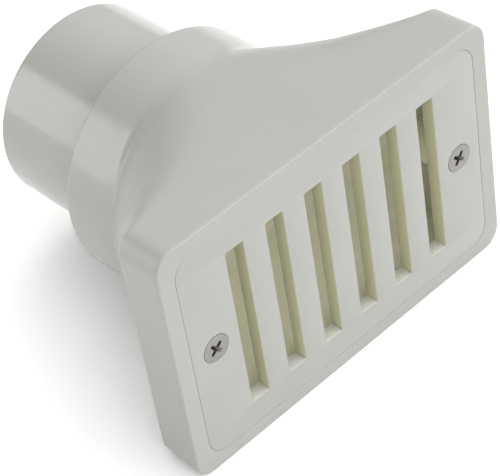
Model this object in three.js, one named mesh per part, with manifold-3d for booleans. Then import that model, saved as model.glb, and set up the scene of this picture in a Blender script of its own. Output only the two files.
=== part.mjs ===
// Thru hull fitting with a rectangular grille, for 2 inch pipe.
//
// A moulded housing carries a rectangular rim that sits flush in the hull, and a
// fishtail hopper that gathers the water from the rim into a round collar. A pipe
// spigot is cemented into the collar. The slotted grille lies in a pocket in the
// rim, and two countersunk screws hold it to brass inserts in the housing.
//
// Millimetres. The origin is the centre of the outer face. +X runs along the long
// side, +Y goes through the hull towards the pipe, and +Z is up. "Depth" is Y.

import * as THREE from "three";
import { mergeVertices } from "three/addons/utils/BufferGeometryUtils.js";
import Module from "manifold-3d";

const wasm = await Module();
wasm.setup();

// ---- driving dimensions ----

const faceLength = 120.5;
const faceHeight = 79.5;
const faceCornerRadius = 6;
const rimDepth = 14.2;
const rimDraft = 0.35;

const collarRadius = 37.5;
const collarFront = 49.6;
const collarBack = 69;
const collarChamfer = 0.6;

const pipeRadius = 60.3 / 2;
const pipeBoreRadius = 52.5 / 2;
const pipeEnd = 106.9;
const pipeChamfer = 0.8;

const gap = 0.3;
const wall = 6.8;
const ductHalfHeightAtRim = 31;
const stopRingFront = 46.5;
const stopRingBack = 49.7;

const grilleLength = 109.3;
const grilleHeight = 69.8;
const grilleCornerRadius = 6;
const grilleThickness = 4.3;

const slotCount = 6;
const slotPitch = 14.1;
const slotWidth = 6.3;
const slotLength = 53.8;

const screwSpacing = 93.2;
const screwHeadRadius = 4.2;
const screwHeadDepth = 2.4;
const screwShankRadius = 4.17 / 2;
const screwLength = 12.7;
const screwTipChamfer = 0.5;
const recessArm = 2.1;
const recessWidth = 0.9;
const recessDepth = 1.5;

const insertRadius = 2.8;
const insertFront = 5.4;
const insertLength = 8;
const insertChamfer = 0.3;
const insertTipRoom = 1.5;
const bossRadius = 5.5;
const bossBack = 17;

const roundSegments = 72;
const smallSegments = 32;

// How far a cut or a joined solid runs past the face it goes through.
const overrun = 1;

// ---- sizes that follow ----

const pocketFloor = grilleThickness + gap;
const insertBack = insertFront + insertLength;
const screwSides = { left: -screwSpacing / 2, right: screwSpacing / 2 };

// The hopper from the rim back to the collar, as sections of [depth, half-length,
// squareness]. Each one is a superellipse: a squareness of 2 is an ellipse, and a large
// one is nearly a rectangle.
const hopperSections = [
  [14.2, 59.0, 38.6],
  [15.2, 57.3, 30.1],
  [16.3, 55.8, 22.1],
  [17.5, 54.6, 16.3],
  [19.5, 53.8, 10.9],
  [21.5, 53.2, 7.9],
  [23.7, 52.3, 6.16],
  [26.0, 51.4, 5.03],
  [28.5, 50.3, 4.18],
  [31.0, 48.9, 3.61],
  [33.5, 47.4, 3.26],
  [36.0, 45.7, 3.01],
  [38.5, 44.2, 2.77],
  [41.0, 42.6, 2.59],
  [43.3, 41.1, 2.51],
  [45.5, 39.7, 2.43],
  [47.6, 38.5, 2.25],
  [49.6, 37.5, 2],
];

// ---- materials ----

function whitePlastic() {
  return new THREE.MeshStandardMaterial({ color: 0xc9cac4, roughness: 0.35, metalness: 0 });
}

function stainlessSteel() {
  return new THREE.MeshStandardMaterial({ color: 0xa9a7a3, roughness: 0.35, metalness: 1 });
}

function brass() {
  return new THREE.MeshStandardMaterial({ color: 0xb08d4c, roughness: 0.4, metalness: 1 });
}

// ---- solids: three.js geometry in, booleans between, three.js geometry out ----

function solid(geometry) {
  geometry.deleteAttribute("normal");
  geometry.deleteAttribute("uv");
  const merged = mergeVertices(geometry, 1e-4);
  return new wasm.Manifold(new wasm.Mesh({
    numProp: 3,
    vertProperties: new Float32Array(merged.attributes.position.array),
    triVerts: new Uint32Array(merged.index.array),
  }));
}

function geometryOf(manifold) {
  const mesh = manifold.getMesh();
  const geometry = new THREE.BufferGeometry();
  geometry.setAttribute("position", new THREE.BufferAttribute(mesh.vertProperties, 3));
  geometry.setIndex(new THREE.BufferAttribute(mesh.triVerts, 1));
  geometry.computeVertexNormals();
  return geometry;
}

// A shape that stands in X and Z, extruded from depth `front` to depth `back`, where
// each side has leaned in by `draft`. The turn flips Z, which changes nothing because
// every such shape here is symmetric.
function extruded(shape, front, back, draft = 0) {
  const geometry = new THREE.ExtrudeGeometry(shape, {
    depth: back - front,
    bevelEnabled: false,
    curveSegments: 6,
  });
  geometry.rotateX(-Math.PI / 2);
  geometry.translate(0, front, 0);
  const position = geometry.attributes.position;
  for (let i = 0; i < position.count; i += 1) {
    const lean = draft * (position.getY(i) - front) / (back - front);
    position.setX(i, position.getX(i) - Math.sign(position.getX(i)) * lean);
    position.setZ(i, position.getZ(i) - Math.sign(position.getZ(i)) * lean);
  }
  return solid(geometry);
}

// A profile of [radius, depth] points turned about the Y axis. The outer wall runs
// from front to back.
function turned(profile, segments) {
  const points = profile.map(([radius, depth]) => new THREE.Vector2(radius, depth));
  return solid(new THREE.LatheGeometry(points, segments));
}

function rod(radius, front, back, segments) {
  return turned([[0, front], [radius, front], [radius, back], [0, back]], segments);
}

function tube(outerRadius, innerRadius, front, back, chamfer, segments) {
  return turned([
    [innerRadius, front],
    [outerRadius - chamfer, front],
    [outerRadius, front + chamfer],
    [outerRadius, back - chamfer],
    [outerRadius - chamfer, back],
    [innerRadius, back],
    [innerRadius, front],
  ], segments);
}

function roundedRectangle(length, height, radius) {
  const x = length / 2 - radius;
  const z = height / 2 - radius;
  const shape = new THREE.Shape();
  shape.absarc(x, z, radius, 0, Math.PI / 2);
  shape.absarc(-x, z, radius, Math.PI / 2, Math.PI);
  shape.absarc(-x, -z, radius, Math.PI, 1.5 * Math.PI);
  shape.absarc(x, -z, radius, 1.5 * Math.PI, 2 * Math.PI);
  return shape;
}

// Points round a superellipse that stands in X and Z.
function superellipse(halfLength, halfHeight, squareness, depth) {
  const power = 2 / squareness;
  const stretch = (value) => {
    const size = Math.abs(value);
    return size < 1e-9 ? 0 : Math.sign(value) * size ** power;
  };
  return Array.from({ length: roundSegments }, (_, i) => {
    const angle = (2 * Math.PI * i) / roundSegments;
    const x = halfLength * stretch(Math.cos(angle));
    const z = halfHeight * stretch(Math.sin(angle));
    return [x, depth, z];
  });
}

// A closed body through rings of points, from the front one to the back one, with its
// two ends filled.
function loft(rings) {
  const around = rings[0].length;
  const frontCentre = rings.length * around;
  const backCentre = frontCentre + 1;
  const lastRing = (rings.length - 1) * around;
  const ends = [[0, rings[0][0][1], 0], [0, rings.at(-1)[0][1], 0]];
  const triangles = [];
  for (let k = 0; k < around; k += 1) {
    const after = (k + 1) % around;
    triangles.push([frontCentre, k, after]);
    triangles.push([backCentre, lastRing + after, lastRing + k]);
    for (let start = 0; start < lastRing; start += around) {
      const [a, b] = [start + k, start + after];
      triangles.push([a, a + around, b], [b, a + around, b + around]);
    }
  }
  const geometry = new THREE.BufferGeometry();
  const positions = new Float32Array([...rings, ends].flat(2));
  geometry.setAttribute("position", new THREE.BufferAttribute(positions, 3));
  geometry.setIndex(triangles.flat());
  return solid(geometry);
}

// ---- housing ----

// The fishtail's inside or outside. `inset` moves its sides inwards, and it runs on
// straight from the rim to depth `front` and from the collar to depth `back`.
function fishtail({ inset, halfHeightAtRim, halfHeightAtCollar, front, back }) {
  const ring = ([depth, halfLength, squareness], ringDepth = depth) => {
    const along = (depth - rimDepth) / (collarFront - rimDepth);
    const halfHeight = halfHeightAtRim + (halfHeightAtCollar - halfHeightAtRim) * along;
    return superellipse(halfLength - inset, halfHeight, squareness, ringDepth);
  };
  const between = hopperSections.filter(([depth]) => depth < back);
  return loft([
    ring(hopperSections[0], front),
    ...between.map((section) => ring(section)),
    ring(back > collarFront ? hopperSections.at(-1) : between.at(-1), back),
  ]);
}

// A screw boss that stands in the duct on a web from the side wall.
function boss(x) {
  const webLength = faceLength / 2 - Math.abs(x);
  const web = new THREE.BoxGeometry(webLength, bossBack - pocketFloor, 2 * bossRadius);
  const webX = x + Math.sign(x) * webLength / 2;
  web.translate(webX, (pocketFloor + bossBack) / 2, 0);
  const post = rod(bossRadius, pocketFloor, bossBack, smallSegments).translate([x, 0, 0]);
  return post.add(solid(web));
}

function insertHole(x) {
  const front = pocketFloor - overrun;
  const seat = rod(insertRadius + gap, front, insertBack + gap, smallSegments);
  const tip = rod(screwShankRadius + gap, front, insertBack + insertTipRoom, smallSegments);
  return seat.add(tip).translate([x, 0, 0]);
}

function housing() {
  const rimShape = roundedRectangle(faceLength, faceHeight, faceCornerRadius);
  const rim = extruded(rimShape, 0, rimDepth, rimDraft);
  const rimBackShape = roundedRectangle(
    faceLength - 2 * rimDraft,
    faceHeight - 2 * rimDraft,
    faceCornerRadius,
  );
  const behindRim = extruded(rimBackShape, rimDepth - overrun, collarBack);
  const hopper = fishtail({
    inset: 0,
    halfHeightAtRim: faceHeight / 2 - rimDraft,
    halfHeightAtCollar: collarRadius,
    front: rimDepth - overrun,
    back: collarFront + overrun,
  });
  const collar = turned([
    [0, collarFront],
    [collarRadius, collarFront],
    [collarRadius, collarBack - collarChamfer],
    [collarRadius - collarChamfer, collarBack],
    [0, collarBack],
  ], roundSegments);

  const pocketShape = roundedRectangle(
    grilleLength + 2 * gap,
    grilleHeight + 2 * gap,
    grilleCornerRadius + gap,
  );
  const pocket = extruded(pocketShape, -overrun, pocketFloor);
  let duct = fishtail({
    inset: wall,
    halfHeightAtRim: ductHalfHeightAtRim,
    halfHeightAtCollar: collarRadius - wall,
    front: pocketFloor - overrun,
    back: stopRingFront,
  });
  const bore = rod(pipeBoreRadius, stopRingFront - overrun, collarBack, roundSegments);
  const socket = rod(pipeRadius + gap, stopRingBack, collarBack + overrun, roundSegments);

  for (const x of Object.values(screwSides)) {
    duct = duct.subtract(boss(x));
  }
  let body = rim.add(hopper.intersect(behindRim)).add(collar);
  for (const cut of [pocket, duct, bore, socket]) {
    body = body.subtract(cut);
  }
  for (const x of Object.values(screwSides)) {
    body = body.subtract(insertHole(x));
  }
  return body;
}

// ---- pipe spigot ----

function pipeSpigot() {
  const front = stopRingBack + gap;
  return tube(pipeRadius, pipeBoreRadius, front, pipeEnd, pipeChamfer, roundSegments);
}

// ---- grille ----

function grille() {
  const plate = roundedRectangle(grilleLength, grilleHeight, grilleCornerRadius);
  let body = extruded(plate, 0, grilleThickness);
  for (let i = 0; i < slotCount; i += 1) {
    const slot = new THREE.BoxGeometry(slotWidth, 4 * grilleThickness, slotLength);
    slot.translate((i - (slotCount - 1) / 2) * slotPitch, 0, 0);
    body = body.subtract(solid(slot));
  }
  const countersink = turned([
    [0, -overrun],
    [screwHeadRadius + gap, -overrun],
    [screwHeadRadius + gap, 0],
    [screwShankRadius + gap, screwHeadDepth],
    [screwShankRadius + gap, grilleThickness + overrun],
    [0, grilleThickness + overrun],
  ], smallSegments);
  for (const x of Object.values(screwSides)) {
    body = body.subtract(countersink.translate([x, 0, 0]));
  }
  return body;
}

// ---- fasteners ----

// A countersunk screw with a cross recess. The thread is left smooth, at its outer
// diameter.
function screw() {
  const body = turned([
    [0, 0],
    [screwHeadRadius, 0],
    [screwShankRadius, screwHeadDepth],
    [screwShankRadius, screwLength - screwTipChamfer],
    [screwShankRadius - screwTipChamfer, screwLength],
    [0, screwLength],
  ], smallSegments);
  const arms = [[recessArm, recessWidth / 2], [recessWidth / 2, recessArm]];
  return arms.reduce((cut, [halfX, halfZ]) => {
    const arm = new THREE.BoxGeometry(2 * halfX, 2 * recessDepth, 2 * halfZ);
    return cut.subtract(solid(arm));
  }, body);
}

function insert() {
  const bore = screwShankRadius + gap;
  return tube(insertRadius, bore, insertFront, insertBack, insertChamfer, smallSegments);
}

// ---- assembly ----

const fitting = new THREE.Group();

function place(name, manifold, material, x = 0) {
  const mesh = new THREE.Mesh(geometryOf(manifold), material);
  mesh.name = name;
  mesh.position.x = x;
  fitting.add(mesh);
}

place("housing", housing(), whitePlastic());
place("pipe_spigot", pipeSpigot(), whitePlastic());
place("grille", grille(), whitePlastic());
for (const [side, x] of Object.entries(screwSides)) {
  place(`screw_${side}`, screw(), stainlessSteel(), x);
  place(`insert_${side}`, insert(), brass(), x);
}

export default fitting;
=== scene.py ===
"""Looks of a thru hull fitting: a moulded housing, its pipe spigot, a slotted grille,
two countersunk screws and the brass inserts that they run into.

Lengths are in millimetres until a mesh is made. X runs along the face, Y goes through
the hull towards the pipe, and Z is up. The face lies in the plane y = 0. The floor, the
lights and the camera are placed in metres.
"""
import math

import bmesh
import bpy
import numpy as np
from mathutils import Matrix, Vector


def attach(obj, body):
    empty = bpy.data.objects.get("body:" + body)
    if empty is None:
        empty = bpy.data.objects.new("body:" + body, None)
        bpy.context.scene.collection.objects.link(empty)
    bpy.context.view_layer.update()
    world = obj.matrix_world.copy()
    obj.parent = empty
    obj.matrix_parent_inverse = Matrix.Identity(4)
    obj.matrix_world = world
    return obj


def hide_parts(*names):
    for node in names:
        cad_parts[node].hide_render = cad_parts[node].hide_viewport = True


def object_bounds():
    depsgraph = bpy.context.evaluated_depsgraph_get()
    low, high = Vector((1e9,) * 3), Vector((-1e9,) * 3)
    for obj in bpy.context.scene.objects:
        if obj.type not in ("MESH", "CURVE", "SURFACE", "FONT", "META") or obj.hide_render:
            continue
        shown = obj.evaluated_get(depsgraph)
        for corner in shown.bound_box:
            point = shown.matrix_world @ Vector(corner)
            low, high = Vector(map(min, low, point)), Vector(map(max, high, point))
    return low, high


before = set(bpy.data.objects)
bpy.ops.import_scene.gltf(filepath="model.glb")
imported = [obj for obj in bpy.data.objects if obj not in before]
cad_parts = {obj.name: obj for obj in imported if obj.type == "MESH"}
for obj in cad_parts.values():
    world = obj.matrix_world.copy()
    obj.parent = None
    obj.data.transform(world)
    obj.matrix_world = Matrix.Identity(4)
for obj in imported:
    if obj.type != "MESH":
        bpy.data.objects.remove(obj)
cad_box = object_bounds()

MM = 0.001
TAU = 2 * math.pi

# ---- driving dimensions ----

FACE = (120.5, 79.5)
FACE_CORNER = 6.0
RIM_DEPTH = 14.2
RIM_DRAFT = 0.35
RIM_EDGE = 0.6

COLLAR_R = 37.5
COLLAR_FRONT = 49.6
COLLAR_BACK = 69.0
COLLAR_EDGE = 0.8
BLEND = 3.6

PIPE_R = 30.15
BORE_R = 26.25
PIPE_FRONT = 50.0
PIPE_END = 106.9

# GAP is the clearance round a fitted piece, and SEAM is what shows round the grille.
GAP = 0.3
SEAM = 0.05
WALL = 6.8
POCKET_FLOOR = 4.6
RING_FRONT = 46.5
RING_BACK = 49.7
DUCT_HALF_HEIGHT = 31.0

GRILLE = (109.3, 69.8)
GRILLE_CORNER = 6.0
GRILLE_THICKNESS = 4.3
SLOTS = 6
SLOT_PITCH = 14.1
SLOT_SIZE = (6.3, 53.8)
SLOT_CORNER = 0.5
GRILLE_EDGE = 0.2

SCREW_X = 46.6
HEAD_R = 4.2
HEAD_DEPTH = 2.4
SHANK_R = 2.085
SCREW_LENGTH = 12.7
THREAD_PITCH = 0.8
THREAD_ROOT_R = 1.62
RECESS_DEPTH = 2.1
LEFT_TURN = math.radians(40)
RIGHT_TURN = math.radians(52)

INSERT_R = 2.8
INSERT_FRONT = 5.4
INSERT_BACK = 13.4
INSERT_ROOM = 1.8
KNURL_TEETH = 24
KNURL_DEPTH = 0.28

# The web ends inside the side wall.
BOSS_R = 5.5
BOSS_BACK = 17.0
WEB_END = 53.5


# ---- meshes ----

def new_object(name, mesh):
    piece = bpy.data.objects.new(name, mesh)
    bpy.context.scene.collection.objects.link(piece)
    return piece


def shade(mesh, sharp_angle=32):
    """Smooth shading, with an edge kept crisp where its faces turn by more than this."""
    bm = bmesh.new()
    bm.from_mesh(mesh)
    bm.normal_update()
    limit = math.radians(sharp_angle)
    for face in bm.faces:
        face.smooth = True
    for edge in bm.edges:
        edge.smooth = len(edge.link_faces) == 2 and edge.calc_face_angle(0) < limit
    bm.to_mesh(mesh)
    bm.free()
    mesh.update()


def ring_mesh(name, rings, closed):
    """A mesh from rings of points that all have the same count. The rings' points run
    round the Y axis. `closed` joins the last ring to the first, and otherwise the two
    ends are filled with a fan."""
    rings = np.asarray(rings, float) * MM
    count, around = rings.shape[:2]
    points = [tuple(p) for p in rings.reshape(-1, 3)]
    faces = []
    for i in range(count if closed else count - 1):
        here, there = i * around, ((i + 1) % count) * around
        for k in range(around):
            after = (k + 1) % around
            faces.append((here + k, here + after, there + after, there + k))
    if not closed:
        for ring, turn in ((0, 1), (count - 1, -1)):
            centre = len(points)
            points.append(tuple(rings[ring].mean(axis=0)))
            start = ring * around
            for k in range(around):
                after = (k + 1) % around
                faces.append((centre, start + after, start + k)[::turn])
    mesh = bpy.data.meshes.new(name)
    mesh.from_pydata(points, [], faces)
    bm = bmesh.new()
    bm.from_mesh(mesh)
    bmesh.ops.recalc_face_normals(bm, faces=bm.faces)
    bm.to_mesh(mesh)
    bm.free()
    return mesh


def polar_ring(angles, radius, depth):
    radius = np.broadcast_to(radius, angles.shape)
    depth = np.broadcast_to(depth, angles.shape)
    return np.stack([radius * np.cos(angles), depth, radius * np.sin(angles)], axis=1)


def turned_mesh(name, profile, segments, closed=False):
    """A profile of [radius, depth] points turned about the Y axis."""
    angles = np.linspace(0, TAU, segments, endpoint=False)
    return ring_mesh(name, [polar_ring(angles, r, d) for r, d in profile], closed)


def fillet(corner, before, after, size, steps=4):
    """Points of an arc that rounds a corner between two directions at right angles."""
    corner, before, after = (np.asarray(v, float) for v in (corner, before, after))
    centre = corner + size * (before + after)
    points = []
    for i in range(steps + 1):
        turn = math.pi / 2 * i / steps
        points.append(centre - size * (math.cos(turn) * after + math.sin(turn) * before))
    return [tuple(p) for p in points]


def boolean(piece, cutter, operation):
    """Joins or cuts with the exact solver, applies it, and removes the cutter."""
    modifier = piece.modifiers.new("cut", "BOOLEAN")
    modifier.operation = operation
    modifier.solver = "EXACT"
    modifier.object = cutter
    graph = bpy.context.evaluated_depsgraph_get()
    made = bpy.data.meshes.new_from_object(piece.evaluated_get(graph))
    piece.modifiers.clear()
    old, piece.data = piece.data, made
    bpy.data.meshes.remove(old)
    bpy.data.objects.remove(cutter)


# ---- outlines, as a radius at each angle ----

def rounded_rectangle(angles, half_length, half_height, corner):
    c, s = np.abs(np.cos(angles)), np.abs(np.sin(angles))
    with np.errstate(divide="ignore"):
        side, top = half_length / np.maximum(c, 1e-9), half_height / np.maximum(s, 1e-9)
    x, z = half_length - corner, half_height - corner
    along = c * x + s * z
    arc = along + np.sqrt(np.maximum(along**2 - x**2 - z**2 + corner**2, 0))
    return np.where(side * s <= z, side, np.where(top * c <= x, top, arc))


def quadrant_angles():
    """Angles of one quadrant, closer together where the rim and the pocket turn."""
    flat_side = np.linspace(0, 27, 20)[:-1]
    corner = np.linspace(27, 37.5, 18)[:-1]
    shoulder = np.linspace(37.5, 56, 22)[:-1]
    flat_top = np.linspace(56, 90, 14)[:-1]
    return np.radians(np.concatenate([flat_side, corner, shoulder, flat_top]))


def all_angles():
    quarter = quadrant_angles()
    mirrored = (math.pi - np.append(quarter[1:], math.pi / 2))[::-1]
    half = np.concatenate([quarter, mirrored])
    return np.concatenate([half, half + math.pi])


# The hopper's sections as depth, half-length and squareness. Each is a superellipse: a
# squareness of 2 is an ellipse, and a large one is nearly a rectangle.
HOPPER = np.array([
    [14.2, 59.0, 38.6],
    [15.2, 57.3, 30.1],
    [16.3, 55.8, 22.1],
    [17.5, 54.6, 16.3],
    [19.5, 53.8, 10.9],
    [21.5, 53.2, 7.9],
    [23.7, 52.3, 6.16],
    [26.0, 51.4, 5.03],
    [28.5, 50.3, 4.18],
    [31.0, 48.9, 3.61],
    [33.5, 47.4, 3.26],
    [36.0, 45.7, 3.01],
    [38.5, 44.2, 2.77],
    [41.0, 42.6, 2.59],
    [43.3, 41.15, 2.46],
    [45.5, 39.8, 2.33],
    [47.6, 38.55, 2.17],
    [49.6, 37.5, 2.0],
])


def smooth_table(depth, column):
    """A column of HOPPER at a depth, on a cubic that has no overshoot."""
    x, y = HOPPER[:, 0], HOPPER[:, column]
    step = np.diff(x)
    slope = np.diff(y) / step
    product = slope[:-1] * slope[1:]
    inner = np.where(product > 0, 2 * product / (slope[:-1] + slope[1:] - 1e-12), 0)
    tangent = np.concatenate([slope[:1], inner, slope[-1:]])
    k = int(np.clip(np.searchsorted(x, depth) - 1, 0, len(step) - 1))
    t = min(max((depth - x[k]) / step[k], 0), 1)
    return float(
        y[k] * (1 + 2 * t) * (1 - t) ** 2 + y[k + 1] * t * t * (3 - 2 * t)
        + step[k] * (tangent[k] * t * (1 - t) ** 2 - tangent[k + 1] * t * t * (1 - t))
    )


def top_height(depth):
    """Half-height of the rim and the hopper, which fall to the collar in one curve: a
    parabola through the face, the back of the rim and the front of the collar."""
    at_rim = (depth * (depth - COLLAR_FRONT)) / (RIM_DEPTH * (RIM_DEPTH - COLLAR_FRONT))
    at_collar = (depth * (depth - RIM_DEPTH)) / (COLLAR_FRONT * (COLLAR_FRONT - RIM_DEPTH))
    return FACE[1] / 2 - RIM_DRAFT * at_rim - (FACE[1] / 2 - COLLAR_R) * at_collar


def duct_height(depth):
    """Half-height of the duct inside the hopper."""
    along = min(max((depth - RIM_DEPTH) / (COLLAR_FRONT - RIM_DEPTH), 0), 1)
    return DUCT_HALF_HEIGHT + (COLLAR_R - WALL - DUCT_HALF_HEIGHT) * along


def hopper_outline(angles, depth, half_height, inset=0.0):
    """A section of the hopper, with its ends moved in by `inset`."""
    length = smooth_table(depth, 1) - inset
    square = smooth_table(depth, 2)
    c, s = np.abs(np.cos(angles)) / length, np.abs(np.sin(angles)) / half_height
    return (c**square + s**square) ** (-1 / square)


# ---- housing ----

def housing_rings(angles):
    """The housing as one closed loop of rings, from the face back and then inside."""
    rings = []

    def add(radius, depth):
        rings.append(polar_ring(angles, radius, depth))

    def rim(inset, depth):
        lean = RIM_DRAFT * min(depth, RIM_DEPTH) / RIM_DEPTH
        return rounded_rectangle(
            angles, FACE[0] / 2 - lean - inset, top_height(depth) - inset, FACE_CORNER - inset)

    def hopper(depth):
        outline = hopper_outline(angles, max(depth, RIM_DEPTH), top_height(depth))
        return np.minimum(outline, rim(0, depth))

    # The rim's outside, from the face back. Its edges are rounded.
    for i in range(7):
        turn = math.pi / 2 * i / 6
        add(rim(RIM_EDGE * (1 - math.sin(turn)), 0), RIM_EDGE * (1 - math.cos(turn)))
    for depth in (1.8, 4, 7, 10, 12.6, 13.3):
        add(rim(0, depth), depth)

    # The rim's back face, down to the hopper. On the flat top there is no step.
    for share, depth in ((0.0, 13.7), (0.04, 13.95), (0.13, 14.1), (0.3, 14.17),
                         (0.6, 14.21), (0.85, 14.26), (0.96, 14.45)):
        add((1 - share) * rim(0, depth) + share * hopper(depth), depth)

    # The hopper and the collar. At the top and bottom, one blends into the other, and
    # at the two ends the collar keeps a crisp edge.
    for depth in np.concatenate([[14.75, 15.3], np.arange(16, COLLAR_FRONT - BLEND, 1.0)]):
        add(hopper(depth), depth)
    upright = np.clip((np.abs(np.sin(angles)) - 0.3) / 0.4, 0, 1)
    slope = (hopper(COLLAR_FRONT - BLEND) - COLLAR_R) / BLEND
    for depth in np.linspace(COLLAR_FRONT - BLEND, COLLAR_FRONT + BLEND, 13):
        soft = COLLAR_R + slope * (COLLAR_FRONT + BLEND - depth) ** 2 / (4 * BLEND)
        crisp = hopper(depth) if depth < COLLAR_FRONT else COLLAR_R
        add(upright * soft + (1 - upright) * crisp, depth)
    for depth in (55, 58, 61, 65, 67.2, 68.0):
        add(COLLAR_R, depth)
    for r, d in fillet((COLLAR_R, COLLAR_BACK), (0, -1), (-1, 0), COLLAR_EDGE):
        add(r, d)
    for r in (35.5, 33.0, PIPE_R + GAP + 1.2):
        add(r, COLLAR_BACK)
    add(PIPE_R + GAP + 0.4, COLLAR_BACK)
    add(PIPE_R + GAP + 0.1, COLLAR_BACK - 0.1)
    add(PIPE_R + GAP, COLLAR_BACK - 0.4)

    # The socket, the stop ring and the duct, from the back to the pocket.
    for depth in (66, 60, 55, RING_BACK + 0.3):
        add(PIPE_R + GAP, depth)
    add(PIPE_R + GAP, RING_BACK)
    add(PIPE_R - 1, RING_BACK)
    add(BORE_R + 0.3, RING_BACK)
    add(BORE_R, RING_BACK - 0.3)
    add(BORE_R, RING_FRONT + 0.6)
    add(BORE_R + 0.15, RING_FRONT + 0.15)
    add(BORE_R + 0.6, RING_FRONT)
    for depth in np.concatenate([[RING_FRONT - 0.05], np.arange(45.6, 15, -1.4), [14.6]]):
        lead_in = 0.4 if depth > RING_FRONT - 0.1 else 0
        add(hopper_outline(angles, depth, duct_height(depth) - lead_in, WALL + lead_in), depth)
    mouth = hopper_outline(angles, RIM_DEPTH, DUCT_HALF_HEIGHT, WALL)
    for depth in (13.6, 11, 8, 6, POCKET_FLOOR + 0.6):
        add(mouth, depth)
    add(mouth + 0.1, POCKET_FLOOR + 0.15)
    add(mouth + 0.4, POCKET_FLOOR)

    # The pocket that the grille lies in, and the face.
    pocket = [size / 2 + GAP for size in GRILLE]

    def pocket_ring(outset):
        return rounded_rectangle(
            angles, pocket[0] + outset, pocket[1] + outset, GRILLE_CORNER + GAP + outset)
    add(pocket_ring(-0.5), POCKET_FLOOR)
    add(pocket_ring(-0.1), POCKET_FLOOR - 0.1)
    add(pocket_ring(0), POCKET_FLOOR - 0.5)
    add(pocket_ring(0), 2)
    add(pocket_ring(0), 0.7)
    lip = 0.15
    for i in range(5):
        turn = math.pi / 2 * i / 4
        add(pocket_ring(lip * (1 - math.cos(turn))), lip * (1 - math.sin(turn)))
    add(pocket_ring(0.8), 0)
    add(rim(RIM_EDGE + 0.5, 0), 0)
    return rings


def rounded_box(name, low, high, edge):
    """A box with rounded edges, between two corners."""
    bm = bmesh.new()
    bmesh.ops.create_cube(bm, size=1)
    size = [(b - a) * MM for a, b in zip(low, high)]
    middle = [(a + b) / 2 * MM for a, b in zip(low, high)]
    bmesh.ops.scale(bm, vec=size, verts=bm.verts)
    bmesh.ops.translate(bm, vec=middle, verts=bm.verts)
    bmesh.ops.bevel(bm, geom=bm.edges, offset=edge * MM, segments=3, affect="EDGES",
                    profile=0.5)
    mesh = bpy.data.meshes.new(name)
    bm.to_mesh(mesh)
    bm.free()
    return mesh


def add_boss(housing, side):
    """A post for an insert, on a web from the side wall, with the insert's hole."""
    x = side * SCREW_X
    profile = [(BOSS_R - 0.4, POCKET_FLOOR), (BOSS_R, POCKET_FLOOR + 0.4)]
    profile += fillet((BOSS_R, BOSS_BACK), (0, -1), (-1, 0), 0.8)
    post = turned_mesh("boss", profile, 96)
    post.transform(Matrix.Translation((x * MM, 0, 0)))
    boolean(housing, new_object("boss", post), "UNION")
    near, far = sorted((x + side * 1.5, side * WEB_END))
    web = rounded_box("web", (near, POCKET_FLOOR + 0.2, -BOSS_R + 0.1),
                      (far, BOSS_BACK - 0.3, BOSS_R - 0.1), 0.6)
    boolean(housing, new_object("web", web), "UNION")
    hole = turned_mesh("hole", [
        (INSERT_R + 1.2, POCKET_FLOOR - 0.6), (INSERT_R + 0.6, POCKET_FLOOR),
        (INSERT_R + 0.1, POCKET_FLOOR + 0.5), (INSERT_R + 0.1, INSERT_BACK + 0.3),
        (INSERT_R - 0.4, INSERT_BACK + 0.3), (INSERT_R - 0.4, INSERT_BACK + INSERT_ROOM),
    ], 64)
    hole.transform(Matrix.Translation((x * MM, 0, 0)))
    boolean(housing, new_object("hole", hole), "DIFFERENCE")


def mark_inside(mesh):
    """Marks the points that lie within the walls, where the material puts painted light:
    a pale cream for light that comes through the plastic.
    """
    skin = 2
    mark = mesh.attributes.new("inside", "FLOAT", "POINT")
    for point, value in zip(mesh.vertices, mark.data):
        x, depth, z = (c / MM for c in point.co)
        angle = np.array([math.atan2(z, x)])
        reach = rounded_rectangle(angle, FACE[0] / 2, FACE[1] / 2, FACE_CORNER)[0]
        if depth > RIM_DEPTH:
            at = min(depth, COLLAR_FRONT)
            reach = min(reach, hopper_outline(angle, at, top_height(at))[0])
        within = 0.4 < depth < COLLAR_BACK - 0.3
        value.value = float(within and math.hypot(x, z) < reach - skin)


def make_housing():
    housing = new_object("housing_moulding", ring_mesh(
        "housing_moulding", housing_rings(all_angles()), closed=True))
    for side in (-1, 1):
        add_boss(housing, side)
    mark_inside(housing.data)
    shade(housing.data)
    return housing


# ---- pipe spigot ----

def make_spigot():
    profile = [(BORE_R, PIPE_END - 0.5), (BORE_R, PIPE_END - 1.5)]
    profile += [(BORE_R, d) for d in (95, 80, 65, PIPE_FRONT + 1)]
    profile += [(BORE_R + 0.3, PIPE_FRONT), (PIPE_R - 0.8, PIPE_FRONT),
                (PIPE_R, PIPE_FRONT + 0.8)]
    profile += [(PIPE_R, d) for d in (54, 62, 70, 80, 90, 100, PIPE_END - 1.6)]
    profile += fillet((PIPE_R, PIPE_END), (0, -1), (-1, 0), 0.9)
    profile += [(PIPE_R - 1.6, PIPE_END), (BORE_R + 1.2, PIPE_END), (BORE_R + 0.5, PIPE_END),
                (BORE_R + 0.15, PIPE_END - 0.15)]
    mesh = turned_mesh("pipe", profile, 144, closed=True)
    shade(mesh)
    return new_object("pipe", mesh)


# ---- grille ----

def outline_spline(curve, points):
    spline = curve.splines.new("POLY")
    spline.points.add(len(points) - 1)
    for point, (x, y) in zip(spline.points, points):
        point.co = (x * MM, y * MM, 0, 1)
    spline.use_cyclic_u = True


def rounded_loop(centre_x, length, height, corner, steps):
    points = []
    for quarter in range(4):
        sx = 1 if quarter in (0, 3) else -1
        sz = 1 if quarter in (0, 1) else -1
        cx = centre_x + sx * (length / 2 - corner)
        cz = sz * (height / 2 - corner)
        for i in range(steps + 1):
            a = math.pi / 2 * (quarter + i / steps)
            points.append((cx + corner * math.cos(a), cz + corner * math.sin(a)))
    return points


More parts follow.
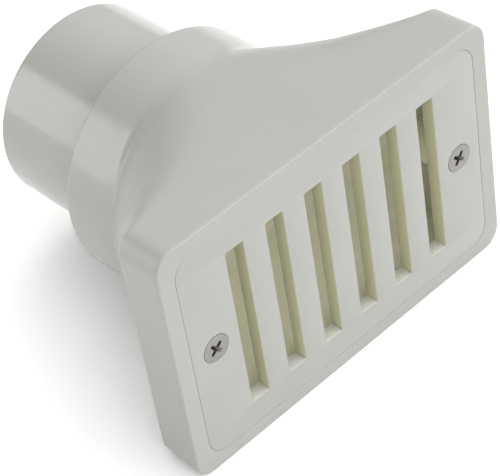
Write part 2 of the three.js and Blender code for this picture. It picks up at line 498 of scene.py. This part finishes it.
def make_grille():
    """A flat plate with slots, all its edges rounded by the curve's bevel."""
    grow = 2 * (GAP - SEAM)
    curve = bpy.data.curves.new("grille_outline", "CURVE")
    curve.dimensions = "2D"
    curve.fill_mode = "BOTH"
    curve.extrude = (GRILLE_THICKNESS / 2 - GRILLE_EDGE) * MM
    curve.bevel_depth = GRILLE_EDGE * MM
    curve.bevel_resolution = 2
    curve.offset = -GRILLE_EDGE * MM
    outline_spline(curve, rounded_loop(
        0, GRILLE[0] + grow, GRILLE[1] + grow, GRILLE_CORNER + grow / 2, 12))
    for i in range(SLOTS):
        x = (i - (SLOTS - 1) / 2) * SLOT_PITCH
        outline_spline(curve, rounded_loop(x, *SLOT_SIZE, SLOT_CORNER, 4))
    drawn = new_object("grille_outline", curve)
    graph = bpy.context.evaluated_depsgraph_get()
    mesh = bpy.data.meshes.new_from_object(drawn.evaluated_get(graph))
    bpy.data.objects.remove(drawn)
    mesh.transform(Matrix.Translation((0, GRILLE_THICKNESS / 2 * MM, 0))
                   @ Matrix.Rotation(math.pi / 2, 4, "X"))
    bm = bmesh.new()
    bm.from_mesh(mesh)
    bmesh.ops.remove_doubles(bm, verts=bm.verts, dist=1e-6)
    bmesh.ops.recalc_face_normals(bm, faces=bm.faces)
    bm.to_mesh(mesh)
    bm.free()
    plate = new_object("grille_plate", mesh)
    for x in (-SCREW_X, SCREW_X):
        seat = turned_mesh("seat", [
            (HEAD_R + SEAM + 0.62, -0.45), (HEAD_R + SEAM, 0.17),
            (SHANK_R + GAP, HEAD_DEPTH), (SHANK_R + GAP, GRILLE_THICKNESS + 1),
        ], 64)
        seat.transform(Matrix.Translation((x * MM, 0, 0)))
        boolean(plate, new_object("seat", seat), "DIFFERENCE")
    shade(plate.data)
    return plate


# ---- fasteners ----

def cross_cutter(angle):
    """The tapered cross of a screw's recess."""
    outline = []
    for quarter in range(4):
        turn = Matrix.Rotation(math.pi / 2 * quarter, 2)
        for x, z in ((0.62, 0.62), (2.3, 0.5), (2.3, -0.5)):
            outline.append(turn @ Vector((x, z)))
    order = sorted(outline, key=lambda p: math.atan2(p.y, p.x))
    spin = Matrix.Rotation(angle, 2)
    rings = []
    sections = ((-0.6, 1.06, 1.1), (0, 1, 1), (1.5, 0.7, 0.75), (RECESS_DEPTH, 0.2, 0.2))
    for depth, reach, width in sections:
        ring = []
        for p in order:
            across = reach if abs(p.x) > 1 else width
            upward = reach if abs(p.y) > 1 else width
            q = spin @ Vector((p.x * across, p.y * upward))
            ring.append((q.x, depth, q.y))
        rings.append(ring)
    return new_object("cross", ring_mesh("cross", rings, closed=False))


def make_screw(name, x, angle):
    """A countersunk machine screw with a rolled thread and a cross recess."""
    around = 48
    angles = np.linspace(0, TAU, around, endpoint=False)
    rings = [polar_ring(angles, r, d) for r, d in (
        (HEAD_R - 0.12, 0), (HEAD_R - 0.03, 0.03), (HEAD_R, 0.14), (HEAD_R - 0.04, 0.28),
        (SHANK_R + 0.35, HEAD_DEPTH - 0.32), (SHANK_R, HEAD_DEPTH), (SHANK_R, HEAD_DEPTH + 0.4),
    )]
    start, end = HEAD_DEPTH + 0.6, SCREW_LENGTH - 0.35
    for depth in np.arange(start, end, THREAD_PITCH / 8):
        wave = np.abs(((depth / THREAD_PITCH + angles / TAU) % 1) * 2 - 1)
        fade_out = (end - depth) / (0.6 * THREAD_PITCH) + 0.2
        fade = min(1.0, (depth - start) / THREAD_PITCH, fade_out)
        groove = (SHANK_R - THREAD_ROOT_R) * wave * fade
        rings.append(polar_ring(angles, SHANK_R - groove, depth))
    rings.append(polar_ring(angles, THREAD_ROOT_R, SCREW_LENGTH - 0.2))
    rings.append(polar_ring(angles, THREAD_ROOT_R - 0.35, SCREW_LENGTH))
    screw = new_object(name, ring_mesh(name, rings, closed=False))
    boolean(screw, cross_cutter(angle), "DIFFERENCE")
    # The recess mark is where the metal gets painted shade.
    mark = screw.data.attributes.new("recess", "FLOAT", "POINT")
    for point, value in zip(screw.data.vertices, mark.data):
        px, depth, pz = (c / MM for c in point.co)
        value.value = float(0.05 < depth < RECESS_DEPTH + 0.1 and math.hypot(px, pz) < 2.2)
    shade(screw.data, 40)
    screw.data.transform(Matrix.Translation((x * MM, 0, 0)))
    return screw


def make_insert(name, x):
    """A brass insert with two knurled bands and a groove between them."""
    angles = np.linspace(0, TAU, 144, endpoint=False)
    saw = np.abs(((angles / TAU * KNURL_TEETH) % 1) * 2 - 1)
    bore = SHANK_R + GAP
    knurl = INSERT_R - KNURL_DEPTH * saw
    rings = [
        (bore + 0.2, INSERT_FRONT), (INSERT_R - 0.45, INSERT_FRONT),
        (INSERT_R - 0.3, INSERT_FRONT + 0.12), (INSERT_R - 0.3, INSERT_FRONT + 0.5),
        (knurl, INSERT_FRONT + 0.75), (knurl, INSERT_FRONT + 3.2),
        (INSERT_R - 0.35, INSERT_FRONT + 3.5), (INSERT_R - 0.35, INSERT_FRONT + 4.5),
        (knurl, INSERT_FRONT + 4.8), (knurl, INSERT_BACK - 0.6),
        (INSERT_R - 0.35, INSERT_BACK - 0.3), (INSERT_R - 0.4, INSERT_BACK),
        (bore + 0.12, INSERT_BACK), (bore, INSERT_BACK - 0.15),
        (bore, (INSERT_FRONT + INSERT_BACK) / 2), (bore, INSERT_FRONT + 0.2),
    ]
    mesh = ring_mesh(name, [polar_ring(angles, r, d) for r, d in rings], closed=True)
    shade(mesh, 30)
    mesh.transform(Matrix.Translation((x * MM, 0, 0)))
    return new_object(name, mesh)


# ---- materials ----

OUTER_COLOUR = (0.319, 0.322, 0.299, 1)
# Painted light: the olive cream on the slots' long walls stands in for light coming through the
# plastic.
SLOT_WALL_PAINTED_LIGHT = (0.515, 0.505, 0.345, 1)
# Painted light: faces of the grille that look up are painted lighter, for the light that falls
# on them from above.
LEDGE_PAINTED_LIGHT = (0.56, 0.56, 0.52, 1)
# Painted light: the cream inside the housing and in the pipe's bore stands in for light that
# comes through the plastic.
INNER_PAINTED_LIGHT = (0.96, 0.95, 0.79, 1)
# Painted shade: the near black down in a screw's recess.
RECESS_PAINTED_SHADE = (0.11, 0.098, 0.085, 1)

# How far from the middle the grille's slots reach.
SLOT_REACH = 42.0


class Nodes:
    """Short calls for a node tree."""

    def __init__(self, name):
        self.material = bpy.data.materials.new(name)
        self.material.use_nodes = True
        self.tree = self.material.node_tree
        self.shader = self.tree.nodes["Principled BSDF"]
        self.place = self.add("ShaderNodeTexCoord").outputs["Object"]

    def add(self, kind, links=(), **settings):
        node = self.tree.nodes.new(kind)
        for key, value in settings.items():
            setattr(node, key, value)
        for socket, value in dict(links).items():
            self.put(node.inputs[socket], value)
        return node

    def put(self, socket, value):
        if isinstance(value, bpy.types.NodeSocket):
            self.tree.links.new(value, socket)
        else:
            socket.default_value = value

    def noise(self, scale, detail, roughness=0.5):
        return self.add("ShaderNodeTexNoise", {
            "Vector": self.place, "Scale": scale, "Detail": detail, "Roughness": roughness,
        }).outputs["Fac"]

    def calculate(self, operation, first, *second):
        links = dict(enumerate((first, *second)))
        return self.add("ShaderNodeMath", links, operation=operation).outputs[0]

    def ramp(self, value, low, high, start=0.3, end=0.7):
        return self.add("ShaderNodeMapRange", {
            "Value": value, "From Min": start, "From Max": end, "To Min": low, "To Max": high,
        }).outputs["Result"]

    def deeper(self, start, end):
        """Goes from 0 at one depth to 1 at the other."""
        depth = self.add("ShaderNodeSeparateXYZ", {"Vector": self.place}).outputs["Y"]
        return self.ramp(depth, 0, 1, start * MM, end * MM)

    def mix(self, factor, first, second):
        node = self.add("ShaderNodeMix", data_type="RGBA")
        self.put(node.inputs["Factor"], factor)
        self.put(node.inputs[6], first)
        self.put(node.inputs[7], second)
        return node.outputs[2]

    def bump(self, height, strength, distance, onto=None):
        links = {"Height": height, "Strength": strength, "Distance": distance}
        if onto is not None:
            links["Normal"] = onto
        return self.add("ShaderNodeBump", links).outputs["Normal"]

    def shade(self, **sockets):
        for name, value in sockets.items():
            self.put(self.shader.inputs[name.replace("_", " ")], value)
        return self.material


def plastic(n, outer, inner, inside, gloss=0.2, satin=0.0):
    """Moulded plastic, with painted light where `inside` is 1: a second, lighter colour that
    stands in for light coming through the plastic. `satin` is added to the roughness in
    front of the collar."""
    base = n.mix(inside, outer, inner)
    base = n.mix(n.ramp(n.noise(45, 4), 0.04, 0), base, (0, 0, 0, 1))
    normal = n.bump(n.noise(90, 1), 0.3, 0.00012)
    normal = n.bump(n.noise(1400, 2, 0.6), 0.1, 0.00002, normal)
    rough = n.ramp(n.noise(260, 4, 0.6), gloss - 0.04, gloss + 0.05)
    if satin:
        front = n.deeper(COLLAR_FRONT + 0.6, COLLAR_FRONT - 0.6)
        rough = n.calculate("ADD", rough, n.ramp(front, 0, satin, 0, 1))
    return n.shade(Base_Color=base, Roughness=rough, Normal=normal, IOR=1.6)


def housing_plastic():
    n = Nodes("white_moulding")
    mark = n.add("ShaderNodeAttribute", attribute_name="inside").outputs["Fac"]
    # Painted light inside the walls: a pale cream for light coming through the plastic.
    return plastic(n, OUTER_COLOUR, INNER_PAINTED_LIGHT, mark, satin=0.2)


def pipe_plastic():
    n = Nodes("white_pipe")
    flat = n.add("ShaderNodeMapping", {"Vector": n.place, "Scale": (1, 0, 1)}).outputs[0]
    radius = n.add("ShaderNodeVectorMath", {0: flat}, operation="LENGTH").outputs["Value"]
    # Painted light in the bore: the same pale cream, for light coming through the plastic.
    inside = n.ramp(radius, 1, 0, (BORE_R + 0.5) * MM, (BORE_R + 0.8) * MM)
    return plastic(n, OUTER_COLOUR, INNER_PAINTED_LIGHT, inside, 0.17)


def grille_plastic():
    """White, with painted light: olive cream on the long walls of the slots, for light
    coming through the plastic, and a lighter colour on faces that look up.
    """
    n = Nodes("white_grille")
    facing = n.add("ShaderNodeTexCoord").outputs["Normal"]
    turn = n.add("ShaderNodeSeparateXYZ", {"Vector": facing}).outputs
    wall = n.calculate("ABSOLUTE", turn["X"])
    # Painted light: faces that look up are painted lighter.
    ledge = n.ramp(turn["Z"], 0, 1, 0.6, 0.95)
    white = n.mix(ledge, OUTER_COLOUR, LEDGE_PAINTED_LIGHT)
    across = n.add("ShaderNodeSeparateXYZ", {"Vector": n.place}).outputs["X"]
    across = n.calculate("ABSOLUTE", across)
    near = n.ramp(across, 1, 0, SLOT_REACH * MM, (SLOT_REACH + 1) * MM)
    wall = n.calculate("MULTIPLY", wall, near)
    # The slots' long walls get painted light, an olive cream.
    return plastic(n, white, SLOT_WALL_PAINTED_LIGHT, n.ramp(wall, 0, 1, 0.6, 0.95))


def metal(name, dark, light, rough):
    """Dull metal, with painted shade down in a screw's recess, where it is nearly black."""
    n = Nodes(name)
    streaks = n.noise(2500, 3, 0.6)
    base = n.mix(n.ramp(streaks, 0, 1), dark, light)
    # Painted shade in the recess.
    recess = n.add("ShaderNodeAttribute", attribute_name="recess").outputs["Fac"]
    base = n.mix(recess, base, RECESS_PAINTED_SHADE)
    return n.shade(Base_Color=base, Metallic=1.0,
                   Roughness=n.ramp(n.noise(900, 4), rough - 0.07, rough + 0.1),
                   Normal=n.bump(streaks, 0.3, 0.00003))


# ---- scene ----

FLOOR_HALF = 6.0

# The surroundings are brightest at KEY_DIRECTION and fade to AMBIENT at KEY_EDGE, which
# is the cosine of the angle from it.
KEY_DIRECTION = (0.56, -0.52, 0.64)
KEY_EDGE = -0.25
KEY_STRENGTH = 2.32
AMBIENT = 0.31

SOFTBOX_AT = (-0.60, 0.68, 0.325)
SOFTBOX_SIZE = (0.44, 0.63)
SOFTBOX_POWER = 2.4

CAMERA_LENS = 154.03
CAMERA_AT = (-0.27362, -0.31720, 0.38431)
CAMERA_RIGHT = (0.70929, -0.69272, -0.13053)
CAMERA_UP = (0.53910, 0.41376, 0.73360)


def floor_material():
    n = Nodes("studio_floor")
    tone = n.mix(n.noise(3, 2), (0.94, 0.94, 0.94, 1), (0.95, 0.95, 0.95, 1))
    return n.shade(Base_Color=tone, Roughness=0.9, Specular_IOR_Level=0.1)


def make_floor(height):
    mesh = bpy.data.meshes.new("floor")
    signs = [(-1, -1), (1, -1), (1, 1), (-1, 1)]
    corners = [(x * FLOOR_HALF, y * FLOOR_HALF, height) for x, y in signs]
    mesh.from_pydata(corners, [], [(0, 1, 2, 3)])
    mesh.materials.append(floor_material())
    floor = new_object("floor", mesh)


def area_light(name, place, size, power):
    """An upright rectangle that faces the fitting's axis."""
    data = bpy.data.lights.new(name, "AREA")
    data.shape = "RECTANGLE"
    data.size, data.size_y = size
    data.energy = power
    light = bpy.data.objects.new(name, data)
    bpy.context.scene.collection.objects.link(light)
    light.location = place
    facing = Vector((-place[0], -place[1], 0))
    light.rotation_mode = "QUATERNION"
    light.rotation_quaternion = facing.to_track_quat("-Z", "Y")


def make_lights():
    """A wide soft light from the front right and above, and a softbox that stands on
    the floor behind the left end. The pipe and the collar mirror the softbox."""
    world = bpy.data.worlds.new("studio")
    bpy.context.scene.world = world
    world.use_nodes = True
    tree = world.node_tree
    place = tree.nodes.new("ShaderNodeTexCoord")
    along = tree.nodes.new("ShaderNodeVectorMath")
    along.operation = "DOT_PRODUCT"
    along.inputs[1].default_value = Vector(KEY_DIRECTION).normalized()
    bright = tree.nodes.new("ShaderNodeMapRange")
    bright.interpolation_type = "SMOOTHSTEP"
    bright.inputs["From Min"].default_value = KEY_EDGE
    bright.inputs["From Max"].default_value = 1
    bright.inputs["To Min"].default_value = AMBIENT
    bright.inputs["To Max"].default_value = KEY_STRENGTH
    background = tree.nodes["Background"]
    background.inputs["Color"].default_value = (1, 1, 1, 1)
    tree.links.new(place.outputs["Generated"], along.inputs[0])
    tree.links.new(along.outputs["Value"], bright.inputs["Value"])
    tree.links.new(bright.outputs["Result"], background.inputs["Strength"])
    area_light("softbox", SOFTBOX_AT, SOFTBOX_SIZE, SOFTBOX_POWER)


def make_camera():
    data = bpy.data.cameras.new("camera")
    data.sensor_width = 36
    data.lens = CAMERA_LENS
    data.clip_start, data.clip_end = 0.05, 50
    camera = bpy.data.objects.new("camera", data)
    bpy.context.scene.collection.objects.link(camera)
    right, up = Vector(CAMERA_RIGHT), Vector(CAMERA_UP)
    back = right.cross(up)
    turn = Matrix((right, up, back)).transposed().to_4x4()
    camera.matrix_world = Matrix.Translation(CAMERA_AT) @ turn
    bpy.context.scene.camera = camera


def finish_piece(piece, body, node, material):
    """Gives a piece its material, ties it to its body, and hides the node it replaces."""
    piece.data.materials.clear()
    piece.data.materials.append(material)
    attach(piece, body)
    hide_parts(node)


def build():
    bpy.context.scene.view_settings.view_transform = "Standard"
    make_camera()
    make_lights()
    make_floor(cad_box[0].z)
    steel = metal("stainless", (0.24, 0.235, 0.225, 1), (0.36, 0.35, 0.335, 1), 0.34)
    brass = metal("brass", (0.45, 0.31, 0.13, 1), (0.62, 0.46, 0.22, 1), 0.3)
    finish_piece(make_housing(), "housing", "housing", housing_plastic())
    finish_piece(make_spigot(), "housing", "pipe_spigot", pipe_plastic())
    finish_piece(make_grille(), "grille", "grille", grille_plastic())
    for side, sign, angle in (("left", -1, LEFT_TURN), ("right", 1, RIGHT_TURN)):
        screw = make_screw(f"screw_{side}_body", sign * SCREW_X, angle)
        finish_piece(screw, f"screw_{side}", f"screw_{side}", steel)
        insert = make_insert(f"insert_{side}_body", sign * SCREW_X)
        finish_piece(insert, "housing", f"insert_{side}", brass)


build()
